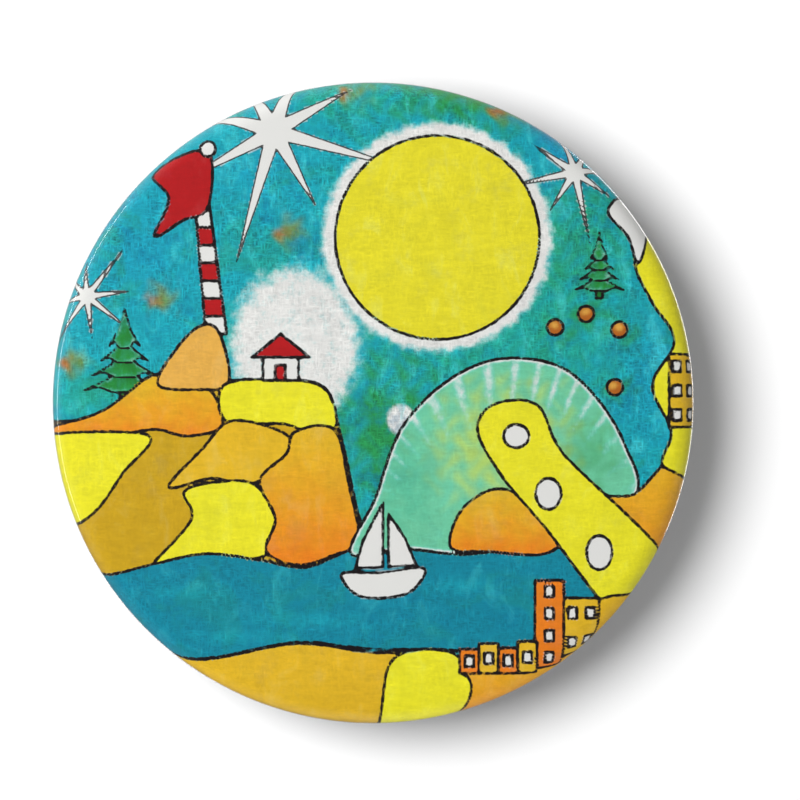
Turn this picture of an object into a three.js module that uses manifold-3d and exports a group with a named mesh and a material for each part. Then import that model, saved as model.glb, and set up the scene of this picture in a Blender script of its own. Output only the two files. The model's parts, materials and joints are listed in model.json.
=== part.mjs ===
// A round pin-back button badge, 58 mm across, standing upright as it is worn.
// Millimetres, +Z up. The printed face looks along -Y and the back plate's flat outer face
// lies in the plane y = 0, with the origin at its centre. The round pieces turn about Y.
import * as THREE from 'three';
import { mergeVertices } from 'three/addons/utils/BufferGeometryUtils.js';
import Module from 'manifold-3d';

const wasm = await Module();
wasm.setup();

// Domed face and rolled edge
const BADGE_RADIUS = 29;
const CROWN_Y = -4.6;
const CROWN_ARC = 365;
const EDGE_ROLL = 1.95;
const REAR_ROLL = 1.5;
const REAR_ROLL_Y = -1.0;
const HOOK_END_Y = -1.3;

// Wall of each layer, as depths below the outer surface
const FILM = [0, 0.15];
const PAPER = [0.2, 0.4];
const SHELL = [0.45, 0.75];

// Back plate, pressed from thin sheet
const PLATE = 0.3;
const PLATE_FLAT_RADIUS = 22.8;
const PLATE_STEP = 0.5;
const PLATE_WALL_RADIUS = 25.6;
const PLATE_RIM_RADIUS = 27.6;
const PLATE_RIM_Y = -1.45;
const CENTRE_RING = 4;

// Bar pin: strip, hinge ears and catch housing
const BAR_Z = 9;
const BAR_LENGTH = 38;
const BAR_WIDTH = 5.5;
const BAR_Y = [1.0, 1.8];
const BAR_HOLE_RADIUS = 0.9;
const BAR_HOLE_X = 8;
const TAPE_LENGTH = 34;
const TAPE_WIDTH = 5;
const TAPE_Y = [0.05, 0.95];
const PIN_Y = 4.2;
const HINGE_X = 16.2;
const EAR_RADIUS = 1.3;
const EAR = 0.7;
const EAR_GAP = 1.7;
const HOUSING_X = [-17.8, -14.6];
const HOUSING_RADIUS = 2.5;
const HOUSING_BORE = 1.8;
const HOUSING_SLOT = 1.5;

// Rivet, needle and turning catch
const RIVET_RADIUS = 0.55;
const RIVET_HEAD_RADIUS = 1.05;
const RIVET_HEAD = 0.5;
const PIVOT_BORE = 0.64;
const EYE_RADIUS = 1.15;
const EYE_WIDTH = 1.5;
const WIRE_RADIUS = 0.42;
const NEEDLE_LENGTH = 33.6;
const TAPER_LENGTH = 7;
const CATCH_X = [-19, -13.8];
const CATCH_RADIUS = 1.7;
const CATCH_BORE = 0.72;
const CATCH_SLOT = 1.3;
const COLLAR_RADIUS = 2.2;
const CATCH_PLAY = 0.2;
const TAB_REACH = 4.4;
const TAB_WIDTH = 2.4;
const TAB = 0.8;
const TAB_TURN = THREE.MathUtils.degToRad(50);

// Facets
const ROUND_STEPS = 40;
const SMALL_STEPS = 24;
const CROWN_STEPS = 3;
const ROLL_STEPS = 4;

const badge = new THREE.Group();

function addPart(name, geometry, colour, roughness, metalness) {
  const material = new THREE.MeshStandardMaterial({ color: colour, roughness, metalness });
  const mesh = new THREE.Mesh(geometry, material);
  mesh.name = name;
  badge.add(mesh);
}

// Turns a closed geometry into a solid that can be joined and cut.
function solid(geometry) {
  const bare = geometry.clone();
  bare.deleteAttribute('normal');
  bare.deleteAttribute('uv');
  const merged = mergeVertices(bare, 1e-4);
  const index = merged.index.array;
  const kept = [];
  for (let i = 0; i < index.length; i += 3) {
    const [a, b, c] = [index[i], index[i + 1], index[i + 2]];
    if (a !== b && b !== c && c !== a) {
      kept.push(a, b, c);
    }
  }
  return new wasm.Manifold(
    new wasm.Mesh({
      numProp: 3,
      vertProperties: new Float32Array(merged.attributes.position.array),
      triVerts: new Uint32Array(kept),
    }),
  );
}

function geometryOf(body) {
  const mesh = body.getMesh();
  const geometry = new THREE.BufferGeometry();
  geometry.setAttribute('position', new THREE.BufferAttribute(mesh.vertProperties, 3));
  geometry.setIndex(new THREE.BufferAttribute(mesh.triVerts, 1));
  geometry.computeVertexNormals();
  return geometry;
}

function lathe(profile, steps) {
  const points = profile.map(([radius, along]) => new THREE.Vector2(radius, along));
  return new THREE.LatheGeometry(points, steps);
}

// An outline in X and Z, given thickness along Y.
function slab(outline, [low, high]) {
  const geometry = new THREE.ExtrudeGeometry(outline, {
    depth: high - low,
    bevelEnabled: false,
    curveSegments: 8,
  });
  return geometry.rotateX(Math.PI / 2).translate(0, high, BAR_Z);
}

function box([x0, x1], [y0, y1], [z0, z1]) {
  const geometry = new THREE.BoxGeometry(x1 - x0, y1 - y0, z1 - z0);
  return geometry.translate((x0 + x1) / 2, (y0 + y1) / 2, (z0 + z1) / 2);
}

// A round piece along Z, centred on the hinge axis.
function onHinge(profile) {
  return lathe(profile, SMALL_STEPS).rotateX(Math.PI / 2).translate(HINGE_X, PIN_Y, BAR_Z);
}

// A round piece along X, centred on the pin's line; the profile's second number is x.
function onPinLine(profile, steps) {
  return lathe(profile, steps).rotateZ(-Math.PI / 2).translate(0, PIN_Y, BAR_Z);
}

function tube([inner, outer], [low, high]) {
  return [
    [inner, low],
    [outer, low],
    [outer, high],
    [inner, high],
    [inner, low],
  ];
}

// The section of the wrapped face, from the centre round the edge to the hooked end,
// at a depth below the outer surface.
function skinLine(depth) {
  const crownCentre = CROWN_Y + CROWN_ARC;
  const rollX = BADGE_RADIUS - EDGE_ROLL;
  const span = CROWN_ARC - EDGE_ROLL;
  const rollY = crownCentre - Math.sqrt(span * span - rollX * rollX);
  const lean = Math.asin(rollX / span);
  const rearX = BADGE_RADIUS - REAR_ROLL;
  const line = [];
  for (let i = 0; i <= CROWN_STEPS; i += 1) {
    const turn = (lean * i) / CROWN_STEPS;
    const arc = CROWN_ARC - depth;
    line.push([arc * Math.sin(turn), crownCentre - arc * Math.cos(turn)]);
  }
  for (let i = 1; i <= ROLL_STEPS; i += 1) {
    const turn = lean + ((Math.PI / 2 - lean) * i) / ROLL_STEPS;
    const arc = EDGE_ROLL - depth;
    line.push([rollX + arc * Math.sin(turn), rollY - arc * Math.cos(turn)]);
  }
  for (let i = 0; i <= ROLL_STEPS; i += 1) {
    const turn = (Math.PI * i) / ROLL_STEPS;
    const arc = REAR_ROLL - depth;
    line.push([rearX + arc * Math.cos(turn), REAR_ROLL_Y + arc * Math.sin(turn)]);
  }
  line.push([rearX - REAR_ROLL + depth, HOOK_END_Y]);
  return line;
}

function skin([outerDepth, innerDepth]) {
  const outer = skinLine(outerDepth);
  const inner = skinLine(innerDepth).reverse();
  return lathe([...outer, ...inner], ROUND_STEPS);
}

function backPlate() {
  const wallInner = PLATE_WALL_RADIUS - PLATE;
  const slope = PLATE_FLAT_RADIUS + PLATE_STEP + 0.1;
  const front = [
    [0, -PLATE],
    [PLATE_FLAT_RADIUS - PLATE / 2, -PLATE],
    [slope - PLATE / 2, -PLATE_STEP - PLATE],
    [wallInner, -PLATE_STEP - PLATE],
    [wallInner, PLATE_RIM_Y - PLATE],
    [PLATE_RIM_RADIUS, PLATE_RIM_Y - PLATE],
  ];
  const rear = [
    [PLATE_RIM_RADIUS, PLATE_RIM_Y],
    [PLATE_WALL_RADIUS, PLATE_RIM_Y],
    [PLATE_WALL_RADIUS, -PLATE_STEP - PLATE / 3],
    [PLATE_WALL_RADIUS - PLATE, -PLATE_STEP],
    [slope, -PLATE_STEP],
    [PLATE_FLAT_RADIUS, 0],
    [CENTRE_RING, 0],
    [0, 0],
  ];
  return lathe([...front, ...rear], ROUND_STEPS);
}

function roundedStrip(length, width, corner) {
  const [x, z] = [length / 2, width / 2];
  const outline = new THREE.Shape();
  outline.moveTo(-x + corner, -z);
  outline.lineTo(x - corner, -z);
  outline.absarc(x - corner, -z + corner, corner, -Math.PI / 2, 0);
  outline.absarc(x - corner, z - corner, corner, 0, Math.PI / 2);
  outline.absarc(-x + corner, z - corner, corner, Math.PI / 2, Math.PI);
  outline.absarc(-x + corner, -z + corner, corner, Math.PI, 1.5 * Math.PI);
  return outline;
}

function barStrip() {
  const outline = roundedStrip(BAR_LENGTH, BAR_WIDTH, BAR_WIDTH * 0.3);
  for (const side of [-1, 1]) {
    const hole = new THREE.Path();
    hole.absarc(side * BAR_HOLE_X, 0, BAR_HOLE_RADIUS, 0, 2 * Math.PI);
    outline.holes.push(hole);
  }
  return solid(slab(outline, BAR_Y));
}

// A hinge ear stands on the strip and is rounded about the rivet.
function hingeEar(side) {
  const outline = new THREE.Shape();
  const foot = (BAR_Y[0] + BAR_Y[1]) / 2;
  outline.moveTo(HINGE_X - EAR_RADIUS, foot);
  outline.lineTo(HINGE_X + EAR_RADIUS, foot);
  outline.lineTo(HINGE_X + EAR_RADIUS, PIN_Y);
  outline.absarc(HINGE_X, PIN_Y, EAR_RADIUS, 0, Math.PI);
  const ear = new THREE.ExtrudeGeometry(outline, {
    depth: EAR,
    bevelEnabled: false,
    curveSegments: 10,
  });
  const low = side > 0 ? EAR_GAP / 2 : -EAR_GAP / 2 - EAR;
  return solid(ear.translate(0, 0, BAR_Z + low));
}

// The housing is a rolled ring, open on the side the needle enters by.
function catchHousing() {
  const ring = solid(onPinLine(tube([HOUSING_BORE, HOUSING_RADIUS], HOUSING_X), SMALL_STEPS));
  const halfSlot = HOUSING_SLOT / 2;
  const slot = box(
    [HOUSING_X[0] - 1, HOUSING_X[1] + 1],
    [PIN_Y, PIN_Y + HOUSING_RADIUS + 1],
    [BAR_Z - halfSlot, BAR_Z + halfSlot],
  );
  const footTop = PIN_Y - HOUSING_BORE - 0.1;
  const foot = box(HOUSING_X, [(BAR_Y[0] + BAR_Y[1]) / 2, footTop], [BAR_Z - 1.2, BAR_Z + 1.2]);
  return ring.subtract(solid(slot)).add(solid(foot));
}

function pinBar() {
  const pivotHole = solid(
    onHinge([
      [0, -EAR_GAP * 2],
      [PIVOT_BORE, -EAR_GAP * 2],
      [PIVOT_BORE, EAR_GAP * 2],
      [0, EAR_GAP * 2],
    ]),
  );
  const ears = hingeEar(1).add(hingeEar(-1)).subtract(pivotHole);
  return geometryOf(barStrip().add(ears).add(catchHousing()));
}

function hingeRivet() {
  const grip = EAR_GAP / 2 + EAR + 0.05;
  const end = grip + RIVET_HEAD;
  return onHinge([
    [0, -end],
    [RIVET_HEAD_RADIUS * 0.8, -end],
    [RIVET_HEAD_RADIUS, -end + RIVET_HEAD / 2],
    [RIVET_HEAD_RADIUS, -grip],
    [RIVET_RADIUS, -grip],
    [RIVET_RADIUS, grip],
    [RIVET_HEAD_RADIUS, grip],
    [RIVET_HEAD_RADIUS, end - RIVET_HEAD / 2],
    [RIVET_HEAD_RADIUS * 0.8, end],
    [0, end],
  ]);
}

function pinNeedle() {
  const eye = solid(onHinge(tube([PIVOT_BORE, EYE_RADIUS], [-EYE_WIDTH / 2, EYE_WIDTH / 2])));
  const root = (PIVOT_BORE + EYE_RADIUS) / 2;
  const tip = HINGE_X - NEEDLE_LENGTH;
  const wire = onPinLine(
    [
      [0, tip],
      [WIRE_RADIUS * 0.15, tip + 0.1],
      [WIRE_RADIUS * 0.62, tip + TAPER_LENGTH * 0.35],
      [WIRE_RADIUS, tip + TAPER_LENGTH],
      [WIRE_RADIUS, HINGE_X - root],
      [0, HINGE_X - root],
    ],
    12,
  );
  return geometryOf(eye.add(solid(wire)));
}

// A slotted sleeve that turns in the housing, with a collar at each end and a thumb tab.
function safetyCatch() {
  const inboard = HOUSING_X[1] + CATCH_PLAY;
  const outboard = HOUSING_X[0] - CATCH_PLAY;
  const sleeve = solid(
    onPinLine(
      [
        [CATCH_BORE, CATCH_X[0]],
        [COLLAR_RADIUS, CATCH_X[0]],
        [COLLAR_RADIUS, outboard],
        [CATCH_RADIUS, outboard],
        [CATCH_RADIUS, inboard],
        [COLLAR_RADIUS, inboard],
        [COLLAR_RADIUS, CATCH_X[1]],
        [CATCH_BORE, CATCH_X[1]],
        [CATCH_BORE, CATCH_X[0]],
      ],
      SMALL_STEPS,
    ),
  );
  const halfSlot = CATCH_SLOT / 2;
  const slot = box(
    [CATCH_X[0] - 1, CATCH_X[1] + 1],
    [PIN_Y, PIN_Y + COLLAR_RADIUS + 1],
    [BAR_Z - halfSlot, BAR_Z + halfSlot],
  );
  const tabEnd = TAB_REACH - TAB_WIDTH / 2;
  const outline = new THREE.Shape();
  outline.moveTo(-TAB_WIDTH / 2, CATCH_RADIUS * 0.8);
  outline.lineTo(TAB_WIDTH / 2, CATCH_RADIUS * 0.8);
  outline.lineTo(TAB_WIDTH / 2, tabEnd);
  outline.absarc(0, tabEnd, TAB_WIDTH / 2, 0, Math.PI);
  const plate = new THREE.ExtrudeGeometry(outline, {
    depth: TAB,
    bevelEnabled: false,
    curveSegments: 10,
  });
  const tab = plate.rotateY(Math.PI / 2).rotateX(TAB_TURN).translate(CATCH_X[0], PIN_Y, BAR_Z);
  return geometryOf(sleeve.subtract(solid(slot)).add(solid(tab)));
}

addPart('clear_film', skin(FILM), 0xf4f7f8, 0.08, 0);
addPart('printed_paper', skin(PAPER), 0x2fa3a8, 0.6, 0);
addPart('front_shell', skin(SHELL), 0xb9bcbf, 0.35, 1);
addPart('back_plate', backPlate(), 0xc3c6c9, 0.3, 1);
const tape = slab(roundedStrip(TAPE_LENGTH, TAPE_WIDTH, 0.4), TAPE_Y);
addPart('mounting_tape', tape, 0xe9e7e0, 0.9, 0);
addPart('pin_bar', pinBar(), 0xcfd2d6, 0.2, 1);
addPart('hinge_rivet', hingeRivet(), 0xbfc2c6, 0.3, 1);
addPart('pin_needle', pinNeedle(), 0xd6d9dc, 0.15, 1);
addPart('safety_catch', safetyCatch(), 0xcdd0d4, 0.22, 1);

export default badge;
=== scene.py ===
"""A round pin-back button badge: a printed disc under clear film, wrapped over a tinned
shell, with a pressed back plate and a taped-on bar pin that has a turning safety catch."""

import json
import math

import bmesh
import bpy
import numpy as np
from mathutils import Matrix, Vector
from mathutils.geometry import tessellate_polygon


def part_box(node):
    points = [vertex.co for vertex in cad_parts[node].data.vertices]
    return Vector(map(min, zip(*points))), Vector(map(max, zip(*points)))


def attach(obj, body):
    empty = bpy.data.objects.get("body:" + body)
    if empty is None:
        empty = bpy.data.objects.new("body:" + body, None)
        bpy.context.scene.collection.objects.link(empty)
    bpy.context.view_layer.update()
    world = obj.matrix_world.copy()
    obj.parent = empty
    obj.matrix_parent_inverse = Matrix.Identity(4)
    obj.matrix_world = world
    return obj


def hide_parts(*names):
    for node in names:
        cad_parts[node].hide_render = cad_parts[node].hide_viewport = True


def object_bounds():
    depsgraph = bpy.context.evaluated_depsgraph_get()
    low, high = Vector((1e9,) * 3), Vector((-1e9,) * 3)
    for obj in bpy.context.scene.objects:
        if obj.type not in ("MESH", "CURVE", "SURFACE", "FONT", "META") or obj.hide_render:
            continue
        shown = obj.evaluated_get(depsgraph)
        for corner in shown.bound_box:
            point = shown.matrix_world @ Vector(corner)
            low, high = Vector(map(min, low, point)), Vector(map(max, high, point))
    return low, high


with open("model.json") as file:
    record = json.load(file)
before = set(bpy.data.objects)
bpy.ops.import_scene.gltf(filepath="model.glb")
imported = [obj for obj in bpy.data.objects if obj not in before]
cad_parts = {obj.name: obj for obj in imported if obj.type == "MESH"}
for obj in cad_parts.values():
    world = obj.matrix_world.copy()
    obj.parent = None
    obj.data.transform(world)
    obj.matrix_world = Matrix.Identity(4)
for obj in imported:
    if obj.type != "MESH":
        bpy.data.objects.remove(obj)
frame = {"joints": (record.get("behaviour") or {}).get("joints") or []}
cad_low, cad_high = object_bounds()

MM = 0.001

# Places and sizes read from the frame
FILM_LOW, FILM_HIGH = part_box("clear_film")
SHELL_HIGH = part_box("front_shell")[1]
PLATE_LOW, PLATE_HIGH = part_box("back_plate")
TAPE_LOW, TAPE_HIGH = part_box("mounting_tape")
BAR_LOW, BAR_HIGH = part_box("pin_bar")
RIVET_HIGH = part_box("hinge_rivet")[1]
NEEDLE_LOW, NEEDLE_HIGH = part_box("pin_needle")
CATCH_LOW, CATCH_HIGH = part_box("safety_catch")
HINGE = Vector(next(j["pos_m"] for j in frame["joints"] if j["name"] == "needle_hinge"))
PIN_Y, PIN_Z = HINGE.y, HINGE.z

# Sections of the wrapped disc
RADIUS = FILM_HIGH.x
CROWN_Y = FILM_LOW.y
CROWN_ARC = 365 * MM
EDGE_ROLL = 1.95 * MM
REAR_ROLL = 1.5 * MM
REAR_ROLL_Y = FILM_HIGH.y - REAR_ROLL
HOOK_END_Y = -1.3 * MM
FILM_WALL = 0.05 * MM
PAPER_DEPTH = 0.06 * MM
SHELL_DEPTH = RADIUS - SHELL_HIGH.x
PAPER_WALL = SHELL_DEPTH - PAPER_DEPTH - 0.05 * MM
SHELL_WALL = 0.3 * MM
PLEATS = 96
FACE_RINGS = 112
EDGE_STEPS = 12
PLEAT_DEPTH = 0.07 * MM

# Bar pin
SHEET = 0.8 * MM
TAPE_HOLE_X = 8 * MM
TAPE_HOLE = 0.9 * MM
EAR_RADIUS = 1.3 * MM
EAR = 0.7 * MM
EAR_GAP = 1.7 * MM
PIVOT_BORE = 0.64 * MM
HOUSING_X = (-17.8 * MM, -14.6 * MM)
HOUSING_RADIUS = 2.5 * MM
HOUSING_BORE = 1.8 * MM
HOUSING_SLOT = 1.5 * MM
WIRE_RADIUS = 0.42 * MM
CATCH_RADIUS = 1.7 * MM
CATCH_BORE = 0.72 * MM
CATCH_SLOT = 1.3 * MM
COLLAR_RADIUS = 2.2 * MM
CATCH_PLAY = 0.2 * MM
TAB_REACH = 4.4 * MM
TAB_WIDTH = 2.4 * MM
TAB = 0.8 * MM
TAB_TURN = math.radians(50)

FLOOR_DROP = 0.10


# ---- mesh making


def new_object(name, data):
    thing = bpy.data.objects.new(name, data)
    bpy.context.scene.collection.objects.link(thing)
    return thing


def new_piece(name, verts, faces):
    mesh = bpy.data.meshes.new(name)
    mesh.from_pydata([tuple(v) for v in verts], [], faces)
    mesh.validate()
    mesh.polygons.foreach_set("use_smooth", [True] * len(mesh.polygons))
    mesh.update()
    return new_object(name, mesh)


def turned(section, steps, place):
    """Turns a closed section of (radius, along) points about its axis.
    place(radius, along, angle) gives the point. Points on the axis become poles."""
    verts, rows = [], []
    for radius, along in section:
        if radius < 1e-9:
            rows.append([len(verts)] * steps)
            verts.append(place(0.0, along, 0.0))
        else:
            rows.append(list(range(len(verts), len(verts) + steps)))
            for i in range(steps):
                verts.append(place(radius, along, 2 * math.pi * i / steps))
    faces = []
    ends_on_axis = section[0][0] < 1e-9 and section[-1][0] < 1e-9
    pairs = list(zip(rows, rows[1:]))
    if not ends_on_axis:
        pairs.append((rows[-1], rows[0]))
    for low, high in pairs:
        for i in range(steps):
            j = (i + 1) % steps
            ring = [low[i], low[j], high[j], high[i]]
            face = [v for k, v in enumerate(ring) if v != ring[k - 1]]
            if len(face) > 2:
                faces.append(face)
    return verts, faces


def about_y(radius, along, angle):
    return (radius * math.cos(angle), along, radius * math.sin(angle))


def about_pin(radius, along, angle):
    return (along, PIN_Y + radius * math.cos(angle), PIN_Z + radius * math.sin(angle))


def about_hinge(radius, along, angle):
    x = HINGE.x + radius * math.cos(angle)
    return (x, HINGE.y + radius * math.sin(angle), HINGE.z + along)


def face_outwards(piece, merge=True):
    """Turns every face to the outside, after doubled points are merged."""
    work = bmesh.new()
    work.from_mesh(piece.data)
    if merge:
        bmesh.ops.remove_doubles(work, verts=work.verts, dist=1e-8)
    bmesh.ops.recalc_face_normals(work, faces=work.faces)
    work.to_mesh(piece.data)
    work.free()
    return piece


def crease(piece, degrees):
    piece.data.set_sharp_from_angle(angle=math.radians(degrees))
    return piece


def turned_piece(name, section, steps, place):
    return crease(face_outwards(new_piece(name, *turned(section, steps, place))), 35)


def rounded(section, size, steps=4):
    """Rounds each corner of a closed section to about the given size."""
    out = []
    count = len(section)
    for i, point in enumerate(section):
        here = Vector(point)
        if point[0] < 1e-9:
            out.append(tuple(here))
            continue
        before = Vector(section[i - 1]) - here
        after = Vector(section[(i + 1) % count]) - here
        reach = min(size, before.length * 0.45, after.length * 0.45)
        start, end = here + before.normalized() * reach, here + after.normalized() * reach
        for k in range(steps + 1):
            t = k / steps
            bend = start * (1 - t) ** 2 + here * 2 * t * (1 - t) + end * t * t
            out.append(tuple(bend))
    return out


def inset(loop, depth):
    """Moves a closed loop of 2D points to its left side by depth."""
    moved = []
    count = len(loop)
    for i in range(count):
        a, b, c = (Vector(loop[(i + k) % count]) for k in (-1, 0, 1))
        into, out = (b - a).normalized(), (c - b).normalized()
        side = Vector((-into.y - out.y, into.x + out.x))
        scale = depth / max(0.3, side.length / 2)
        moved.append(b + side.normalized() * scale)
    return moved


def rounded_plate(loops, low, high, edge, place, steps=3):
    """A flat plate with rounded edges. The first loop runs anticlockwise and the others,
    which are holes, run clockwise. place(u, v, height) gives each point."""
    turns = [math.pi / 2 * k / steps for k in range(steps + 1)]
    levels = [(edge * (1 - math.sin(t)), low + edge * (1 - math.cos(t))) for t in turns]
    levels += [(depth, low + high - height) for depth, height in reversed(levels)]
    verts, faces = [], []
    bottom, top = [], []
    for loop in loops:
        rows = []
        for depth, height in levels:
            ring = inset(loop, depth)
            rows.append(list(range(len(verts), len(verts) + len(ring))))
            verts += [place(*p, height) for p in ring]
        for one, two in zip(rows, rows[1:]):
            for i in range(len(one)):
                j = (i + 1) % len(one)
                faces.append([one[i], one[j], two[j], two[i]])
        points = [Vector((*p, 0)) for p in inset(loop, edge)]
        bottom.append((rows[0], points))
        top.append((rows[-1], points))
    for side in (bottom, top):
        index = [i for row, _ in side for i in row]
        for tri in tessellate_polygon([points for _, points in side]):
            faces.append([index[i] for i in tri])
    return verts, faces


def plate_piece(name, loops, low, high, edge, place):
    piece = face_outwards(new_piece(name, *rounded_plate(loops, low, high, edge, place)))
    across = (Vector(place(0, 0, 1)) - Vector(place(0, 0, 0))).normalized()
    for polygon in piece.data.polygons:
        if abs(polygon.normal.dot(across)) > 0.9999:
            polygon.use_smooth = False
    return crease(piece, 50)


def arc(centre, radius, start, end, steps):
    turns = [math.radians(start + (end - start) * i / steps) for i in range(steps + 1)]
    return [(centre[0] + radius * math.cos(t), centre[1] + radius * math.sin(t)) for t in turns]


def evaluated_mesh(thing):
    """A plain mesh of the thing as its modifiers leave it."""
    bpy.context.view_layer.update()
    depsgraph = bpy.context.evaluated_depsgraph_get()
    return bpy.data.meshes.new_from_object(thing.evaluated_get(depsgraph))


def joined(name, *pieces):
    """Joins closed pieces into one solid by a union."""
    first = pieces[0]
    for other in pieces[1:]:
        union = first.modifiers.new("union", "BOOLEAN")
        union.operation = "UNION"
        union.solver = "EXACT"
        union.object = other
        mesh = evaluated_mesh(first)
        first.modifiers.remove(union)
        first.data = mesh
        bpy.data.objects.remove(other)
    first.name = name
    first.data.name = name
    return first


def finish_piece(piece, body, slot, material, *nodes):
    piece.data.materials.clear()
    piece.data.materials.append(material)
    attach(piece, body)
    if nodes:
        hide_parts(*nodes)
    return piece


# ---- the wrapped disc


def wrapped_line(depth, crown_steps, roll_steps):
    """The section of the disc's skin at a depth below its outer surface, as (radius, y,
    unrolled radius), from the centre round the edge to the hooked end."""
    crown_centre = CROWN_Y + CROWN_ARC
    roll_x = RADIUS - EDGE_ROLL
    span = CROWN_ARC - EDGE_ROLL
    roll_y = crown_centre - math.sqrt(span * span - roll_x * roll_x)
    lean = math.asin(roll_x / span)
    rear_x = RADIUS - REAR_ROLL
    line = []
    for i in range(crown_steps + 1):
        turn = lean * i / crown_steps
        reach = CROWN_ARC - depth
        line.append((reach * math.sin(turn), crown_centre - reach * math.cos(turn)))
    for i in range(1, roll_steps + 1):
        turn = lean + (math.pi / 2 - lean) * i / roll_steps
        reach = EDGE_ROLL - depth
        line.append((roll_x + reach * math.sin(turn), roll_y - reach * math.cos(turn)))
    for i in range(roll_steps + 1):
        turn = math.pi * i / roll_steps
        reach = REAR_ROLL - depth
        line.append((rear_x + reach * math.cos(turn), REAR_ROLL_Y + reach * math.sin(turn)))
    line.append((rear_x - REAR_ROLL + depth, HOOK_END_Y))
    out, run = [], 0.0
    for i, (radius, y) in enumerate(line):
        if i:
            run += math.dist(line[i - 1], (radius, y))
        out.append((radius, y, run))
    return out


def pleat(angle, unrolled):
    """How far the wrapped skin sinks where it is gathered behind the edge, from 0 to 1."""
    start = RADIUS + EDGE_ROLL
    gather = min(1.0, max(0.0, (unrolled - start) / (2.5 * MM)))
    wander = 0.9 * math.sin(7 * angle + 1.3) + 0.7 * math.sin(17 * angle + 0.4)
    fold = 0.5 + 0.5 * math.sin(PLEATS * angle + wander)
    uneven = 0.65 + 0.35 * math.sin(11 * angle + 2.1)
    return gather * uneven * fold ** 2


def disc_skin(name, depth, wall, crown_steps, roll_steps, steps, pleated=False):
    """A closed thin skin over the disc, turned about Y."""
    outer = wrapped_line(depth, crown_steps, roll_steps)
    inner = wrapped_line(depth + wall, crown_steps, roll_steps)
    section = [(radius, y) for radius, y, _ in outer + inner[::-1]]
    piece = face_outwards(new_piece(name, *turned(section, steps, about_y)))
    if pleated:
        press_pleats(piece)
    return crease(piece, 50)


def press_pleats(piece):
    """Sinks the gathered folds into the part of a skin that lies behind the edge."""
    middle = Vector((RADIUS - REAR_ROLL, REAR_ROLL_Y))
    edge_run = RADIUS + EDGE_ROLL
    slack = 1e-6
    for vertex in piece.data.vertices:
        x, y, z = vertex.co
        radius = math.hypot(x, z)
        if y < REAR_ROLL_Y and radius > middle.x:
            continue
        if y < HOOK_END_Y - slack or radius < RADIUS - 2 * REAR_ROLL - slack:
            continue
        angle = math.atan2(z, x)
        turn = math.atan2(max(0.0, y - middle.y), radius - middle.x)
        sink = PLEAT_DEPTH * pleat(angle, edge_run + turn * REAR_ROLL)
        away = Vector((radius, y)) - middle
        if y < middle.y:
            away = Vector((-1.0, 0.0))
        away.normalize()
        radius -= away.x * sink
        y -= away.y * sink
        vertex.co = (radius * math.cos(angle), y, radius * math.sin(angle))


def printed_disc():
    """The printed paper: a fine even grid over the face, so that the painting can be held
    on its points, wrapped round the edge and closed by a plain inner side."""
    outer = wrapped_line(PAPER_DEPTH, FACE_RINGS, EDGE_STEPS)
    inner = wrapped_line(PAPER_DEPTH + PAPER_WALL, 6, 8)
    around = 8 * FACE_RINGS
    verts, unrolled, rows = [], [], []
    for k, (radius, y, run) in enumerate(outer + inner[::-1]):
        count = 1 if radius < 1e-9 else min(8 * k, around) if k < len(outer) else around
        rows.append(list(range(len(verts), len(verts) + count)))
        for i in range(count):
            angle = 2 * math.pi * i / count
            verts.append(about_y(radius, y, angle))
            unrolled.append((run * math.cos(angle), run * math.sin(angle)))
    faces = []
    for low, high in zip(rows, rows[1:]):
        faces += between(low, high)
    piece = face_outwards(new_piece("printed_disc", verts, faces), merge=False)
    return crease(piece, 50), np.array(unrolled) / MM


def between(low, high):
    """Faces between two rings that have the same count, or 8 more, or one point."""
    a, b = len(low), len(high)
    if a == b:
        return [[low[i], low[(i + 1) % a], high[(i + 1) % b], high[i]] for i in range(a)]
    if a == 1:
        return [[low[0], high[(i + 1) % b], high[i]] for i in range(b)]
    if b == 1:
        return [[high[0], low[i], low[(i + 1) % a]] for i in range(a)]
    faces = []
    k = a // 8
    for sector in range(8):
        for i in range(k + 1):
            one, two = sector * (k + 1) + i, (sector * (k + 1) + i + 1) % b
            near = (sector * k + i) % a
            faces.append([high[one], low[near], high[two]])
            if i < k:
                faces.append([low[near], low[(near + 1) % a], high[two]])
    return faces


# ---- the painting


def colour(red, green, blue):
    """A paint colour given in everyday 0 to 255 steps, as linear light."""
    out = []
    for step in (red, green, blue):
        s = step / 255
        out.append(s / 12.92 if s < 0.04045 else ((s + 0.055) / 1.055) ** 2.4)
    return out


SKY = colour(23, 153, 168)
AZURE = colour(21, 137, 180)
SEA = colour(35, 156, 128)
GREEN = colour(39, 138, 58)
OLIVE = colour(112, 128, 44)
RUST = colour(166, 92, 30)
SUN = colour(216, 206, 41)
YELLOW = colour(221, 214, 38)
GOLD = colour(190, 152, 26)
AMBER = colour(214, 172, 36)
ORANGE = colour(222, 120, 26)
PEACH = colour(216, 164, 72)
LAKE = colour(16, 126, 148)
MINT = colour(104, 190, 152)
LIME = colour(176, 204, 92)
FOREST = colour(28, 108, 44)
RED = colour(168, 22, 26)
CHALK = colour(214, 214, 211)


def flowing(points, steps=8):
    """A closed smooth outline through the given points."""
    p = np.array(points, float)
    count = len(p)
    out = []
    for i in range(count):
        a, b, c, d = (p[(i + k) % count] for k in (-1, 0, 1, 2))
        for s in range(steps):
            t = s / steps
            bend = 2 * b + (c - a) * t + (2 * a - 5 * b + 4 * c - d) * t * t
            out.append((bend + (3 * b - a - 3 * c + d) * t ** 3) / 2)
    return np.array(out)


def circle(x, z, across, up=None, steps=48):
    turn = np.linspace(0, 2 * math.pi, steps, endpoint=False)
    return np.stack([x + across * np.cos(turn), z + (up or across) * np.sin(turn)], 1)


def block(x, z, width, height):
    return np.array([(x, z), (x + width, z), (x + width, z + height), (x, z + height)], float)


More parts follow.
